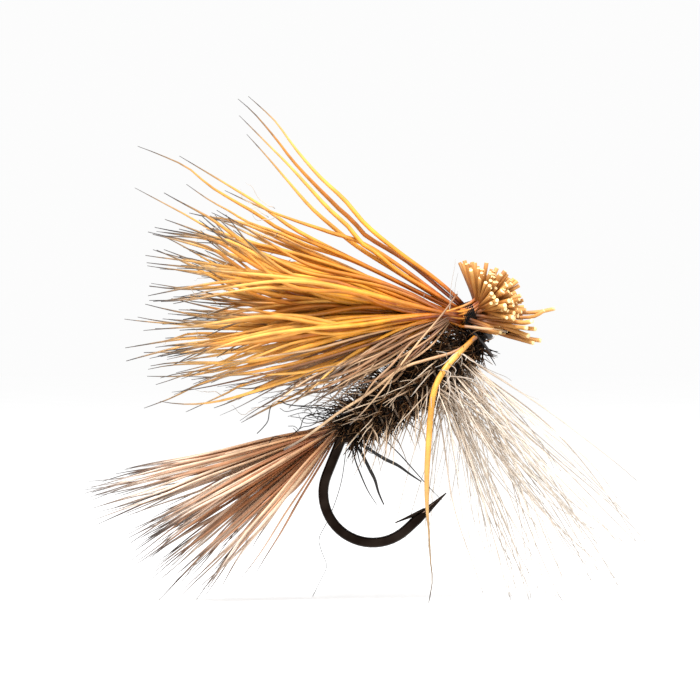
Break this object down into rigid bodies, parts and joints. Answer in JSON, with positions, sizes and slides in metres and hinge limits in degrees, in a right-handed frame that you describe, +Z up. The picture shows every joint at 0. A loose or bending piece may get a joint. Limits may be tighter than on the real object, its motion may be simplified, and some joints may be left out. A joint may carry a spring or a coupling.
{
  "type": "dry fly",
  "caption": "Dry fly in the deer-hair caddis style: down-eye hook, dubbed body, swept-back hair wing, clipped butts, hackle and hair tail, standing on its tips.",
  "frame": {"origin": "centre of the hole in the hook's eye", "axes": "+X towards the head, level and in the plane of the hook; +Y to the fly's left, square to the plane of the hook; +Z up from the water, with the shank pitched 36 degrees nose up"},
  "size_m": [0.0296, 0.023, 0.0283],
  "materials": {
    "black_nickel": "gloss",
    "thread": "satin",
    "cement": "gloss",
    "tail_hair": "satin",
    "dubbing": "matte",
    "guard_hair": "satin",
    "quill": "satin",
    "hackle": "satin",
    "wing_hair": "satin",
    "cut_hair": "satin"
  },
  "bodies": {
    "root": {"hook": "black_nickel", "thread_base": "thread", "tail_wraps": "thread", "collar_wraps": "thread", "whip_finish": "thread", "head_cement": "cement", "thread_tag": "thread", "tail_waist": "tail_hair", "tail_hair_upper": "tail_hair", "tail_hair_lower": "tail_hair", "tail_hair_butts": "tail_hair", "dubbed_body": "dubbing", "dubbing_fibres": "dubbing", "black_guard_hairs": "guard_hair", "palmer_quill": "quill", "palmer_barbs": "hackle", "front_quill": "quill", "front_barbs_low": "hackle", "front_barbs_left": "hackle", "front_barbs_right": "hackle", "quill_stub": "quill", "wing_waist": "wing_hair", "wing_top_tuft": "wing_hair", "wing_hair_upper": "wing_hair", "wing_hair_middle": "wing_hair", "wing_hair_lower": "wing_hair", "wing_butts": "cut_hair", "long_butts": "cut_hair", "stray_hair": "wing_hair", "crossing_hair": "wing_hair"}
  },
  "joints": []
}
